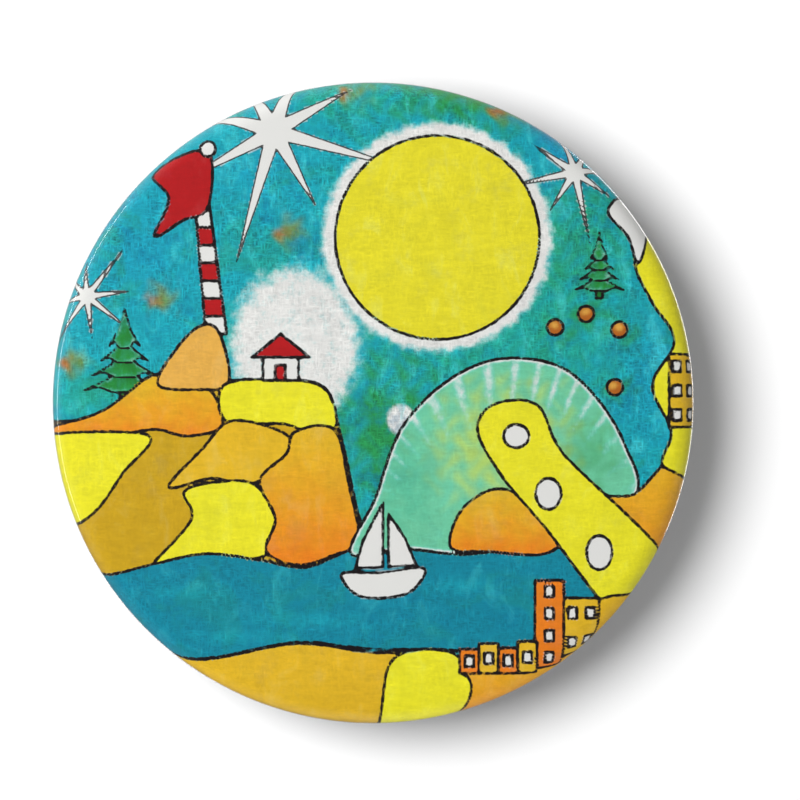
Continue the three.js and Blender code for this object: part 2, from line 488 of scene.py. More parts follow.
def star(x, z, reach, turn, points=8):
    """A star of thin points whose lengths wander a little."""
    out = []
    for i in range(2 * points):
        angle = math.radians(turn + 180 * i / points)
        length = reach * (0.13 if i % 2 else 0.62 + 0.38 * math.cos(2.4 * i) ** 2)
        out.append((x + length * math.cos(angle), z + length * math.sin(angle)))
    return np.array(out)


class Painting:
    """What the printed disc's points hold: colour, with how mottled it is as its fourth
    value, the distance in millimetres to the nearest ink line, that to the edge of the
    nearest white shape, which is negative inside it, and white haze."""

    def __init__(self, places):
        self.places = places
        self.fill = np.tile(np.array([*SKY, 1.0]), (len(places), 1))
        self.ink = np.full(len(places), 1.0)
        self.chalk = np.full(len(places), 1.0)
        self.glow = np.zeros(len(places))
        x, z = places.T
        wander = np.sin(1.9 * z + 1.1 * np.sin(2.3 * x))
        self.dabs = np.sin(2.1 * x + 1.3 * np.sin(1.7 * z)) * wander

    def measure(self, outline):
        """Which points lie inside a closed outline, and how far each is from it."""
        margin = 1.2
        low, high = outline.min(0) - margin, outline.max(0) + margin
        near = np.flatnonzero(((self.places > low) & (self.places < high)).all(1))
        p = self.places[near]
        inside = np.zeros(len(near), bool)
        least = np.full(len(near), 9.0)
        for a, b in zip(outline, np.roll(outline, -1, 0)):
            run = b - a
            share = np.clip(((p - a) @ run) / max(run @ run, 1e-12), 0, 1)
            least = np.minimum(least, np.hypot(*(p - a - share[:, None] * run).T))
            if a[1] != b[1]:
                crosses = (a[1] > p[:, 1]) != (b[1] > p[:, 1])
                at = a[0] + (p[:, 1] - a[1]) / (b[1] - a[1]) * run[0]
                inside ^= crosses & (p[:, 0] < at)
        return near, inside, least

    def patch(self, outline, paint, foot=None, mottle=0.1, pen=1.0, rim=0.0):
        """Fills an outline and inks its edge. The paint turns to the foot colour lower
        down, a higher pen draws a finer line and 0 none, and rim leaves a pale inner edge."""
        near, inside, least = self.measure(outline)
        within, depth = near[inside], least[inside]
        if not len(within):
            return within
        self.fill[within] = [*paint, mottle]
        if foot:
            z = self.places[within, 1] + 0.6 * self.dabs[within]
            share = np.clip((z.max() - z) / (np.ptp(z) + 1e-6), 0, 1) ** 1.4
            self.fill[within, :3] += share[:, None] * (np.array(foot) - paint)
        self.glow[within] = rim * np.clip(1.4 - depth / 0.35, 0, 1)
        line = pen * least if pen else 1.0
        self.ink[near] = np.where(inside, line, np.minimum(self.ink[near], line))
        edge = np.where(inside, -least, least)
        if paint is CHALK:
            self.chalk[near] = np.minimum(self.chalk[near], edge)
        else:
            self.chalk[near] = np.maximum(self.chalk[near], -edge)
        return within

    def white(self, outline, pen=1.0):
        self.patch(outline, CHALK, mottle=0.0, pen=pen)

    def oval(self, x, z, across, up, full, ragged):
        """1 inside a share of an oval, falling to 0 at its edge, with a dabbed border."""
        d = np.hypot((self.places[:, 0] - x) / across, (self.places[:, 1] - z) / up)
        t = np.clip((1 - d) / (1 - full) + ragged * self.dabs, 0, 1)
        return t * t * (3 - 2 * t)

    def wash(self, x, z, across, up, paint, strength=1.0, full=0.0, only=slice(None)):
        share = strength * self.oval(x, z, across, up, full, 0.3 * (1 - full))[only, None]
        self.fill[only, :3] += share * (np.array(paint) - self.fill[only, :3])

    def halo(self, x, z, across, up, full, strength=1.0):
        self.glow = np.maximum(self.glow, strength * self.oval(x, z, across, up, full, 0.1))

    def store(self, mesh):
        held = mesh.color_attributes.new("paint", "FLOAT_COLOR", "POINT")
        held.data.foreach_set("color", self.fill.astype(np.float32).ravel())
        for name in ("ink", "chalk", "glow"):
            attribute = mesh.attributes.new(name, "FLOAT", "POINT")
            attribute.data.foreach_set("value", getattr(self, name).astype(np.float32))


def paint_sky(art):
    for x, z, across, up, paint, strength in (
            (12, 8, 20, 14, SEA, 0.75), (9, 28.5, 12, 5.5, GREEN, 0.95),
            (18.5, 15, 7, 8, GREEN, 0.5), (1.5, -3, 9, 10, GREEN, 0.9),
            (-3, 28, 9, 3.5, SEA, 0.8), (-13, 6, 5, 4, SEA, 0.5), (27, 3, 7, 11, AZURE, 0.5),
            (18, 24, 5, 4, AZURE, 0.9), (-22, 14, 9, 9, AZURE, 0.3),
            (-10, 21, 6, 5, AZURE, 0.3), (-26, 1, 6, 5, SEA, 0.6)):
        art.wash(x, z, across, up, paint, strength)
    for x, z in ((-2.3, 28.0), (-8.0, 15.2), (-19.6, 9.3), (-27.6, 3.6), (11.5, 26.6)):
        art.wash(x + 0.6, z + 0.2, 2.2, 1.9, OLIVE, 0.85)
        art.wash(x - 0.3, z, 1.1, 1.0, RUST, 0.9)
    sun_x, sun_z = 5.8, 14.9
    art.halo(sun_x, sun_z, 11.15, 11.15, 0.84)
    art.halo(-7.0, 5.2, 7.4, 8.8, 0.60, 0.78)
    for x, z, reach, turn in ((-8.9, 24.5, 12.4, -106), (18.2, 20.8, 6.6, 192),
                              (-25.8, 9.6, 5.6, 52)):
        art.white(star(x, z, reach, turn), pen=0)
    art.patch(circle(sun_x, sun_z, 9.2, steps=120), SUN, mottle=0.15)
    art.wash(2.5, -1.5, 1.35, 1.5, CHALK, full=0.8)


def paint_evergreen(art, x, foot, height, width, tiers=4):
    """A fir: a short trunk behind drooping tiers, each over the one below it."""
    art.patch(block(x - width * 0.07, foot, width * 0.14, height * 0.3), FOREST)
    for i in range(tiers):
        low = foot + height * (0.13 + 0.62 * i / tiers)
        half = width / 2 * (1 - 0.62 * i / (tiers - 1))
        rise = height * (0.40 if i == tiers - 1 else 0.28)
        edge = [(0, rise), (half * 0.4, rise * 0.42), (half, 0), (half * 0.62, rise * 0.12),
                (half * 0.3, -rise * 0.06)]
        right = [(x + u, low + v) for u, v in edge]
        left = [(2 * x - u, v) for u, v in reversed(right[1:])]
        art.patch(np.array(right + left), FOREST, GREEN, 0.3, 1.4, 0.32)


def paint_mast(art):
    """A plain banded flag mast with a swallow-tailed pennant, on its knoll."""
    foot, top, bands = 6.2, 19.0, 8
    rise = (top - foot) / bands
    for i in range(bands):
        low = foot + rise * i
        x, half = -14.1 - 0.11 * rise * i, 0.92 - 0.04 * i
        band = [(x - half, low), (x + half, low), (x + half - 0.2, low + rise),
                (x - half - 0.2, low + rise)]
        art.patch(np.array(band), RED if i % 2 else CHALK, mottle=0.0)
    art.patch(flowing([(-14.7, 22.4), (-17.6, 22.3), (-20.0, 20.6), (-18.4, 18.4),
                       (-19.7, 15.0), (-17.2, 16.4), (-14.9, 17.6)]), RED, mottle=0.05)
    art.patch(circle(-14.9, 22.9, 0.7), CHALK)


def paint_left_hills(art):
    shore = [(-34, -16), (-34, -3.4), (-25, -1.2), (-19.5, 2.6), (-14, 2.0), (-9, 2.1)]
    shore += [(-4.4, 1.4), (-2.9, -3.0), (-1.8, -8.0), (-1.0, -12.8), (-3, -16)]
    art.patch(flowing(shore), GOLD)
    for outline, paint, foot in (
            ([(-34, -3.2), (-25, -1.0), (-19.5, 2.6), (-15, 1.5), (-13.6, -2.0), (-16.8, -3.0),
              (-20, -2.4), (-26, -3.6), (-34, -4.0)], AMBER, ORANGE),
            ([(-19.4, 1.7), (-17.6, 5.0), (-15.4, 7.0), (-13.8, 6.2), (-13.0, 1.8),
              (-16, 1.2)], PEACH, None),
            ([(-13.4, 1.6), (-9, 2.1), (-4.5, 1.4), (-3.3, -2.0), (-5.6, -2.7), (-8, -1.9),
              (-13.2, -1.6)], YELLOW, None),
            ([(-34, -4.0), (-20.6, -2.8), (-22.6, -6.4), (-26.4, -10.8), (-34, -12)],
             YELLOW, None),
            ([(-18.4, -7.6), (-15.4, -4.2), (-12.6, -1.6), (-7.6, -3.0), (-8.2, -5.4),
              (-11.2, -7.4), (-14.5, -6.8)], AMBER, None),
            ([(-17.0, -8.0), (-13.8, -7.1), (-10.6, -7.4), (-8.8, -10.5), (-9.4, -13.6),
              (-14, -14.3), (-20.4, -15.6), (-16.4, -10.6)], YELLOW, None),
            ([(-10.2, -7.0), (-7.8, -4.6), (-7.0, -2.6), (-3.5, -2.4), (-2.2, -7.2),
              (-1.2, -12.8), (-3.2, -13.6), (-6.6, -14.6), (-9.6, -13.4), (-8.8, -10.4)],
             AMBER, ORANGE)):
        art.patch(flowing(outline), paint, foot)


def paint_lake(art):
    water = [(-34, -17.6), (-24, -15.6), (-20, -14.6), (-15, -13.6), (-10, -14.2)]
    water += [(-6, -14.8), (-2, -13.2), (3, -11.6), (8, -13.0), (14, -12.4), (22, -14.5)]
    water += [(25, -20), (16, -24.6), (8, -22.4), (0, -22.2), (-7, -21.6), (-17, -23.2)]
    water += [(-34, -22.6)]
    art.patch(flowing(water), LAKE, mottle=0.45)
    for x, z, across in ((-17, -17, 6), (-6, -19.5, 8), (8, -16.5, 5), (-12, -21, 7)):
        art.wash(x, z, across, 1.1, SKY, 0.5)


def paint_right_land(art):
    hill = [(-2.0, -13.6), (0.2, -8.6), (2.4, -2.6), (6.2, 1.6), (11, 3.9), (16.5, 3.4)]
    hill += [(20.2, 0.4), (22.8, -4.0), (23.6, -8.4), (17, -12), (9, -13.6), (3, -13.2)]
    within = art.patch(flowing(hill), MINT, mottle=0.15, rim=0.85)
    x, z = (art.places[within] - (12.5, -13.5)).T
    turn, reach = np.arctan2(z, x), np.hypot(x, z)
    furrow = (0.5 + 0.5 * np.sin(46 * turn + 2.2 * np.sin(5 * turn) + 0.2 * reach)) ** 2
    furrow *= np.clip((reach - 10.0) / 5, 0, 1)
    art.glow[within] = np.maximum(art.glow[within], 0.6 * furrow)
    art.wash(12, -3.5, 8.5, 7.5, LIME, 0.85, only=within)
    art.wash(19.5, -4.5, 4, 5, GREEN, 0.4, only=within)
    art.wash(3, -7, 4, 6, SEA, 0.35, only=within)
    art.patch(flowing([(7.0, -13.0), (8.2, -9.4), (12, -7.8), (17, -11.5), (15.5, -13.6),
                       (10.5, -13.4)]), AMBER, ORANGE)
    art.patch(flowing([(20.5, -9.2), (23.6, -8.2), (26.4, -5.4), (30, -2.6), (36, -2),
                       (36, -22), (27, -16.5)]), AMBER, ORANGE)
    road = [(9.4, -2.4), (11.0, -0.1), (14.8, -0.2), (17.0, -4.4), (22.4, -9.6), (28, -15.0)]
    road += [(34, -20), (34, -27), (26, -23), (21, -18.4), (15.8, -11.6), (11.6, -6.6)]
    art.patch(flowing(road), YELLOW)
    for x, z, across, up in ((12.9, -3.0, 1.15, 1.05), (15.8, -8.2, 1.15, 1.4),
                             (20.4, -13.5, 1.15, 1.55)):
        art.white(circle(x, z, across, up))


def paint_foreground(art):
    ground = [(-34, -22.8), (-17, -23.3), (-7, -21.7), (0, -22.5), (7, -22.4), (9.5, -24.2)]
    ground += [(34, -22), (34, -36), (-34, -36)]
    art.patch(flowing(ground), AMBER, GOLD)
    art.patch(flowing([(1.2, -34), (0.9, -26.6), (2.2, -22.8), (7.0, -22.5), (8.9, -25.6),
                       (9.4, -34)]), YELLOW)
    art.patch(flowing([(9.4, -34), (8.9, -25.6), (8.4, -24.2), (17.4, -23.2), (19.4, -18.6),
                       (23.6, -17.6), (34, -22), (34, -34)]), AMBER, ORANGE)


def paint_house(art, x, foot, width, height, paint, rows, columns):
    """A plain house with rows of square windows."""
    art.patch(block(x, foot, width, height), paint)
    step_x, step_z = width / columns, height / rows
    for row in range(rows):
        for column in range(columns):
            left = x + step_x * (column + 0.5) - 0.4
            low = foot + step_z * (row + 0.5) - 0.5
            art.white(block(left, low, 0.8, 1.0))


def paint_houses(art):
    paint_house(art, 14.6, -24.0, 2.6, 8.0, ORANGE, 4, 1)
    paint_house(art, 17.2, -23.0, 3.2, 5.4, AMBER, 2, 2)
    for i, height in enumerate((2.2, 2.7, 2.3, 2.9)):
        paint_house(art, 7.8 + 1.75 * i, -24.4, 1.75, height, AMBER if i % 2 else ORANGE, 1, 1)


def paint_cliff(art):
    cliff = [(24.0, 17.6), (24.6, 15.4), (23.6, 12.6), (25.2, 9.0), (27.2, 5.6), (25.2, 1.6)]
    cliff += [(26.9, -2.6), (26.6, -6.0), (36, -6), (36, 20), (27, 19.6)]
    art.patch(flowing(cliff), YELLOW)
    art.white(flowing([(21.2, 17.2), (22.6, 18.8), (25.2, 19.2), (26.4, 17.0), (25.0, 15.0),
                       (23.9, 12.6), (23.0, 15.0)]))
    paint_house(art, 26.7, -2.2, 4.4, 6.6, AMBER, 3, 3)
    paint_evergreen(art, 20.4, 9.4, 6.0, 4.4)
    for x, z in ((16.4, 6.8), (19.2, 8.0), (22.2, 6.6), (21.8, 1.4)):
        art.wash(x + 0.3, z - 0.2, 2.2, 2.0, GREEN, 0.7)
        within = art.patch(circle(x, z, 0.72), RUST, mottle=0.0)
        art.wash(x - 0.1, z + 0.2, 0.55, 0.5, PEACH, 0.9, only=within)


def paint_hut(art):
    art.white(block(-9.9, 2.0, 3.2, 2.3))
    art.patch(np.array([(-10.9, 4.1), (-8.3, 6.2), (-5.7, 4.1)]), RED, mottle=0.0)
    art.patch(block(-8.8, 2.0, 0.9, 1.4), RED, mottle=0.0)


def paint_boat(art):
    """A small white boat under two sails."""
    art.white(np.array([(0.9, -9.0), (-0.9, -12.4), (-1.6, -14.9), (0.9, -14.8)]))
    art.white(np.array([(1.4, -10.0), (1.4, -14.8), (3.9, -14.6), (2.9, -12.2)]))
    art.white(flowing([(-2.8, -15.4), (0.5, -15.3), (4.6, -14.9), (3.4, -17.0), (0.6, -17.6),
                       (-1.6, -17.2)]))


def paint_picture(mesh, places):
    art = Painting(places)
    paint_sky(art)
    paint_evergreen(art, -22.4, 0.0, 8.6, 7.4)
    paint_mast(art)
    paint_left_hills(art)
    paint_lake(art)
    paint_right_land(art)
    paint_boat(art)
    paint_foreground(art)
    paint_houses(art)
    paint_cliff(art)
    paint_hut(art)
    art.store(mesh)


# ---- shader groups


def group(name, inputs, outputs):
    """A shader group with a Vector, float inputs {name: default} and float outputs, as its
    tree, the sockets it is given, and the node that takes its results."""
    tree = bpy.data.node_groups.new(name, "ShaderNodeTree")
    tree.interface.new_socket("Vector", in_out="INPUT", socket_type="NodeSocketVector")
    for label, value in inputs.items():
        socket = tree.interface.new_socket(label, in_out="INPUT", socket_type="NodeSocketFloat")
        socket.default_value = value
    for label in outputs:
        tree.interface.new_socket(label, in_out="OUTPUT", socket_type="NodeSocketFloat")
    given = tree.nodes.new("NodeGroupInput").outputs
    return tree, given, tree.nodes.new("NodeGroupOutput")


def put(tree, socket, value):
    """Sets a socket to a number, a colour or three numbers, or links another socket to it."""
    if isinstance(value, (int, float)):
        socket.default_value = value
    elif isinstance(value, (list, tuple)):
        socket.default_value = (*value, 1.0)[:len(socket.default_value)]
    else:
        tree.links.new(value, socket)


def give(tree, node, **inputs):
    """Fills a node's named inputs. An underscore stands for a space."""
    for label, value in inputs.items():
        put(tree, node.inputs[label.replace("_", " ")], value)
    return node


def added(tree, kind, **inputs):
    return give(tree, tree.nodes.new(kind), **inputs)


def in_order(tree, kind, *values):
    """A new node whose inputs are filled in their own order."""
    node = tree.nodes.new(kind)
    for socket, value in zip(node.inputs, values):
        put(tree, socket, value)
    return node


def maths(tree, operation, *values):
    node = in_order(tree, "ShaderNodeMath", *values)
    node.operation = operation
    return node.outputs[0]


def noise(tree, vector, scale, detail=2.0, roughness=0.5, distortion=0.0):
    return added(tree, "ShaderNodeTexNoise", Vector=vector, Scale=scale, Detail=detail,
                 Roughness=roughness, Distortion=distortion).outputs["Fac"]


def stretched(tree, vector, scale, turn=0):
    """The pattern's place stretched, and turned about Y by some degrees."""
    return added(tree, "ShaderNodeMapping", Vector=vector, Scale=scale,
                 Rotation=(0.0, math.radians(turn), 0.0)).outputs["Vector"]


def ranged(tree, value, low, high, to_low=0.0, to_high=1.0):
    node = added(tree, "ShaderNodeMapRange", Value=value, From_Min=low, From_Max=high,
                 To_Min=to_low, To_Max=to_high)
    node.interpolation_type = "SMOOTHSTEP"
    return node.outputs["Result"]


def mixed(tree, share, one, two, blend="MIX"):
    """Mixes two colours; each may be a socket or a plain colour."""
    node = tree.nodes.new("ShaderNodeMix")
    node.data_type = "RGBA"
    node.blend_type = blend
    for index, value in ((0, share), (6, one), (7, two)):
        put(tree, node.inputs[index], value)
    return node.outputs[2]


def canvas_group():
    """Canvas showing through thin paint: short crossing threads of uneven strength."""
    tree, given, result = group("canvas weave", {"Threads": 6200.0}, ["Height", "Shade"])
    threads = []
    for stretch in ((1.0, 1.0, 0.24), (0.30, 1.0, 1.0)):
        run = stretched(tree, given["Vector"], stretch)
        threads.append(noise(tree, run, given["Threads"], 1.0, 0.4))
    crossing = maths(tree, "MAXIMUM", *threads)
    patchy = ranged(tree, noise(tree, given["Vector"], 420, 3), 0.3, 0.7, 0.5, 1.5)
    raised = maths(tree, "MULTIPLY", maths(tree, "SUBTRACT", crossing, 0.56), patchy)
    give(tree, result, Height=maths(tree, "ADD", raised, 0.5),
         Shade=maths(tree, "MULTIPLY_ADD", raised, 1.5, 1.0))
    return tree


def brush_group():
    """Brush strokes: soft ridges of paint mostly in one direction, with dabs across them."""
    tree, given, result = group("brush strokes", {}, ["Height", "Shade", "Dabs"])
    along = stretched(tree, given["Vector"], (1.0, 1.0, 3.6), 14)
    across = stretched(tree, given["Vector"], (2.2, 1.0, 1.0), -18)
    ridges = noise(tree, along, 620, 4, 0.62, 0.4)
    dabs = noise(tree, across, 260, 4, 0.62, 0.8)
    both = maths(tree, "ADD", maths(tree, "MULTIPLY", ridges, 0.34),
                 maths(tree, "MULTIPLY", dabs, 0.30))
    give(tree, result, Height=ridges, Shade=maths(tree, "ADD", both, 0.68), Dabs=dabs)
    return tree


def wear_group():
    """Handled metal: fine scratches in several directions and soft smears."""
    tree, given, result = group("handled metal", {"Scratches": 0.5}, ["Height", "Smears"])
    total = 0.0
    for turn in (12, 71, 133):
        run = stretched(tree, given["Vector"], (1.0, 1.0, 26.0), turn)
        line = ranged(tree, noise(tree, run, 900, 2, 0.7), 0.60, 0.72)
        total = maths(tree, "MAXIMUM", total, line)
    smears = noise(tree, given["Vector"], 170, 4, 0.6, 0.5)
    give(tree, result, Height=maths(tree, "MULTIPLY", total, given["Scratches"]),
         Smears=ranged(tree, smears, 0.3, 0.7))
    return tree


CANVAS = canvas_group()
BRUSH = brush_group()
WEAR = wear_group()


def placed(tree, what, vector, **values):
    node = tree.nodes.new("ShaderNodeGroup")
    node.node_tree = what
    return give(tree, node, Vector=vector, **values).outputs


def new_material(name):
    material = bpy.data.materials.new(name)
    material.use_nodes = True
    tree = material.node_tree
    shader = tree.nodes["Principled BSDF"]
    where = tree.nodes.new("ShaderNodeTexCoord").outputs["Object"]
    return material, tree, shader, where


def held(tree, name, output="Fac"):
    node = tree.nodes.new("ShaderNodeAttribute")
    node.attribute_name = name
    return node.outputs[output]


def bump(tree, shader, height, strength, distance):
    node = added(tree, "ShaderNodeBump", Strength=strength, Distance=distance, Height=height)
    put(tree, shader.inputs["Normal"], node.outputs["Normal"])


# ---- materials


def print_material():
    """A painting on canvas, printed on paper. The paint is held on the disc's points; the
    mottling, brush strokes, canvas and the roughness of the ink line are added here."""
    material, tree, shader, where = new_material("printed_canvas_painting")
    canvas = placed(tree, CANVAS, where)
    brush = placed(tree, BRUSH, where)
    mottle = held(tree, "paint", "Alpha")
    base = held(tree, "paint", "Color")
    cloudy = noise(tree, where, 190, 6, 0.66, 0.8)
    broken = noise(tree, where, 330, 5, 0.66)
    for value, low, high, most, paint in (
            (cloudy, 0.50, 0.66, 0.42, colour(34, 140, 88)),
            (broken, 0.47, 0.30, 0.55, colour(8, 112, 150)),
            (brush["Dabs"], 0.52, 0.72, 0.42, colour(70, 196, 200))):
        share = maths(tree, "MULTIPLY", ranged(tree, value, low, high, 0.0, most), mottle)
        base = mixed(tree, share, base, paint)

    sponge = maths(tree, "MULTIPLY_ADD", noise(tree, where, 1500, 4, 0.7), 0.8, -0.4)
    glow = held(tree, "glow")
    haze = maths(tree, "MINIMUM", ranged(tree, maths(tree, "ADD", glow, sponge), 0.1, 0.8),
                 ranged(tree, glow, 0.0, 0.15))
    base = mixed(tree, haze, base, mixed(tree, haze, colour(78, 206, 202), CHALK))

    weave = maths(tree, "SUBTRACT", canvas["Shade"], 1.0)
    thin = maths(tree, "MULTIPLY", ranged(tree, mottle, 0.0, 1.0, 0.15, 1.0),
                 ranged(tree, haze, 0.0, 1.0, 1.0, 0.35))
    shade = maths(tree, "MULTIPLY", maths(tree, "MULTIPLY_ADD", weave, thin, 1.0),
                  brush["Shade"])
    shaded = mixed(tree, 1.0, base, shade, "MULTIPLY")

    wobble = maths(tree, "MULTIPLY_ADD", noise(tree, where, 2000, 3), 0.2, -0.1)
    edge = maths(tree, "ADD", held(tree, "chalk"), maths(tree, "MULTIPLY", wobble, 0.4))
    shaded = mixed(tree, ranged(tree, edge, 0.02, -0.03), shaded, CHALK)
    fine = ranged(tree, maths(tree, "ABSOLUTE", edge), 0.085, 0.045, 0.0, 0.9)
    broad = ranged(tree, maths(tree, "ADD", held(tree, "ink"), wobble), 0.18, 0.10)
    drawn = maths(tree, "MAXIMUM", fine, broad)
    dry = ranged(tree, noise(tree, where, 2600, 2), 0.25, 0.45, 0.72, 1.0)
    inked = mixed(tree, maths(tree, "MULTIPLY", drawn, dry), shaded, colour(26, 22, 24))
    rough = maths(tree, "MULTIPLY_ADD", canvas["Height"], 0.12, 0.42)
    give(tree, shader, Base_Color=inked, Roughness=rough, Specular_IOR_Level=0.35)
    return material


def film_material():
    """Clear polyester: it shows what is under it and mirrors by Fresnel."""
    material, tree, shader, where = new_material("clear_polyester_film")
    fresnel = added(tree, "ShaderNodeFresnel", IOR=1.38)
    geometry = tree.nodes.new("ShaderNodeNewGeometry")
    front = maths(tree, "SUBTRACT", 1.0, geometry.outputs["Backfacing"])
    gloss = maths(tree, "MINIMUM", fresnel.outputs["Fac"], 0.3)
    smears = noise(tree, where, 140, 3, 0.6)
    give(tree, shader, Alpha=maths(tree, "MULTIPLY", gloss, front), Base_Color=(1.0, 1.0, 1.0),
         Metallic=1.0, Roughness=ranged(tree, smears, 0.3, 0.7, 0.035, 0.075))
    bump(tree, shader, noise(tree, where, 260, 2, 0.5), 0.12, 0.02 * MM)
    return material


def metal_material(name, shade, roughness, scratches, brushed=0.0):
    material, tree, shader, where = new_material(name)
    wear = placed(tree, WEAR, where, Scratches=scratches)
    tint = mixed(tree, wear["Smears"], [c * 0.90 for c in shade], shade)
    rough = maths(tree, "MULTIPLY_ADD", wear["Smears"], 0.12, roughness)
    height = wear["Height"]
    if brushed:
        grain = noise(tree, stretched(tree, where, (1.0, 1.0, 40.0)), 700, 3, 0.7)
        height = maths(tree, "MULTIPLY_ADD", grain, brushed, height)
        rough = maths(tree, "MULTIPLY_ADD", grain, 0.12, rough)
    give(tree, shader, Base_Color=tint, Metallic=1.0, Roughness=rough)
    bump(tree, shader, height, 0.25, 0.01 * MM)
    return material


def foam_material():
    material, tree, shader, where = new_material("white_foam_tape")
    cells = noise(tree, where, 3800, 3, 0.6)
    # The foam is painted darker where its bump is low: painted shade in the hollows between the
    # cells.
    raised_unshaded_cells = ranged(tree, cells, 0.38, 0.55)
    give(tree, shader, Roughness=maths(tree, "MULTIPLY_ADD", cells, 0.2, 0.72),
         Base_Color=mixed(tree, raised_unshaded_cells, colour(196, 193, 184), colour(238, 236, 228)))
    bump(tree, shader, raised_unshaded_cells, 0.5, 0.03 * MM)
    return material


# ---- the pieces


def make_disc():
    disc, unrolled = printed_disc()
    paint_picture(disc.data, unrolled)
    press_pleats(disc)
    finish_piece(disc, "badge", "print", print_material(), "printed_paper")
    film = disc_skin("film_cover", 0.0, FILM_WALL, 24, 14, 384, pleated=True)
    finish_piece(film, "badge", "film", film_material(), "clear_film")
    tin = metal_material("tinned_shell", colour(214, 215, 216), 0.28, 0.4, 0.3)
    shell = disc_skin("tin_shell", SHELL_DEPTH, SHELL_WALL, 12, 10, 256)
    finish_piece(shell, "badge", "tinplate", tin, "front_shell")
    for piece in (disc, film, shell):
        piece.visible_diffuse = False


def make_back_plate():
    """Pressed tinplate: a flat centre, a soft step down and a wall caught in the hook."""
    wall = 0.3 * MM
    rim = PLATE_HIGH.x
    rim_y = PLATE_LOW.y
    flat, slope, upright = 22.8 * MM, 23.4 * MM, 25.6 * MM
    bead, bead_width, step = 20.6 * MM, 0.8 * MM, 0.5 * MM
    face = PLATE_HIGH.y
    rear = [(0, face), (4 * MM, face), (bead - bead_width, face)]
    rear += [(bead - bead_width / 2, face - 0.06 * MM), (bead, face - 0.12 * MM)]
    rear += [(bead + bead_width / 2, face - 0.06 * MM), (bead + bead_width, face)]
    rear += [(flat, face), (slope, face - step), (upright - wall, face - step)]
    rear += [(upright, face - step - wall), (upright, rim_y + wall), (rim, rim_y + wall)]
    front = [(rim, rim_y), (upright - wall, rim_y), (upright - wall, face - step - wall)]
    front += [(slope - wall / 2, face - step - wall), (flat - wall / 2, face - wall)]
    front += [(4 * MM, face - wall), (0, face - wall)]
    plate = turned_piece("tin_back", rounded(rear + front, 0.28 * MM), 256, about_y)
    tin = metal_material("rolled_tinplate", colour(208, 210, 212), 0.24, 0.7, 0.5)
    finish_piece(plate, "badge", "back_tinplate", tin, "back_plate")


def rounded_rectangle(length, width, corner):
    x, z = length / 2 - corner, width / 2 - corner
    out = []
    for centre, start in (((x, -z), -90), ((x, z), 0), ((-x, z), 90), ((-x, -z), 180)):
        out += arc(centre, corner, start, start + 90, 8)
    return out


def flat_on_back(u, v, height):
    return (u, height, PIN_Z + v)


def along_pin(u, v, height):
    return (height, PIN_Y + v, PIN_Z + u)


def across_hinge(u, v, height):
    return (u, v, height)


def open_ring(outer, inner, slot):
    """The outline of a ring that is open towards +v."""
    gap_out = math.degrees(math.asin(slot / 2 / outer))
    gap_in = math.degrees(math.asin(slot / 2 / inner))
    loop = arc((0, 0), outer, 90 + gap_out, 450 - gap_out, 72)
    return loop + arc((0, 0), inner, 450 - gap_in, 90 + gap_in, 56)


def make_tape():
    length, width = TAPE_HIGH.x - TAPE_LOW.x, TAPE_HIGH.z - TAPE_LOW.z
    loop = rounded_rectangle(length, width, 0.4 * MM)
    pad = plate_piece("foam_pad", [loop], TAPE_LOW.y, TAPE_HIGH.y, 0.08 * MM, flat_on_back)
    finish_piece(pad, "badge", "foam_tape", foam_material(), "mounting_tape")


def make_bar():
    length, width = BAR_HIGH.x - BAR_LOW.x, BAR_HIGH.z - BAR_LOW.z
    low, high = BAR_LOW.y, BAR_LOW.y + SHEET
    loops = [rounded_rectangle(length, width, width * 0.3)]
    for side in (-1, 1):
        loops.append(arc((side * TAPE_HOLE_X, 0), TAPE_HOLE, 352.5, 0, 47))
    strip = plate_piece("bar_strip", loops, low, high, 0.14 * MM, flat_on_back)
    parts = []
    foot = (low + high) / 2
    for side in (-1, 1):
        loop = [(HINGE.x - EAR_RADIUS, foot), (HINGE.x + EAR_RADIUS, foot)]
        loop += arc((HINGE.x, PIN_Y), EAR_RADIUS, 0, 180, 28)
        hole = arc((HINGE.x, PIN_Y), PIVOT_BORE, 352.5, 0, 47)
        near, far = PIN_Z + side * EAR_GAP / 2, PIN_Z + side * (EAR_GAP / 2 + EAR)
        parts.append(plate_piece("ear", [loop, hole], min(near, far), max(near, far),
                                 0.1 * MM, across_hinge))
    ring = open_ring(HOUSING_RADIUS, HOUSING_BORE, HOUSING_SLOT)
    parts.append(plate_piece("housing", [ring], *HOUSING_X, 0.12 * MM, along_pin))
    foot_half, foot_low, foot_top = 1.2 * MM, foot - PIN_Y, -HOUSING_BORE - 0.12 * MM
    loop = [(-foot_half, foot_low), (foot_half, foot_low), (foot_half, foot_top),
            (-foot_half, foot_top)]
    parts.append(plate_piece("foot", [loop], HOUSING_X[0] + 0.02 * MM,
                             HOUSING_X[1] - 0.02 * MM, 0.06 * MM, along_pin))
    bar = joined("pin_bar_plate", strip, *parts)
    nickel = metal_material("bright_nickel", colour(226, 226, 224), 0.12, 0.5)
    finish_piece(bar, "badge", "nickel", nickel, "pin_bar")


def make_rivet():
    grip = EAR_GAP / 2 + EAR + 0.05 * MM
    end = RIVET_HIGH.z - PIN_Z
    shaft, head = 0.55 * MM, RIVET_HIGH.x - HINGE.x
    upper = [(shaft, grip), (head, grip)]
    for i in range(6):
        turn = math.pi / 2 * i / 6
        rise = 0.35 + 0.65 * math.sin(turn)
        upper.append((head * math.cos(turn), grip + (end - grip) * rise))
    lower = [(radius, -along) for radius, along in reversed(upper)]
    section = [(0.0, -end), *lower, *upper, (0.0, end)]
    rivet = turned_piece("hinge_rivet_pin", section, 48, about_hinge)
    steel = metal_material("rivet_nickel_plate", colour(206, 207, 208), 0.2, 0.8)
    finish_piece(rivet, "badge", "rivet_nickel", steel, "hinge_rivet")


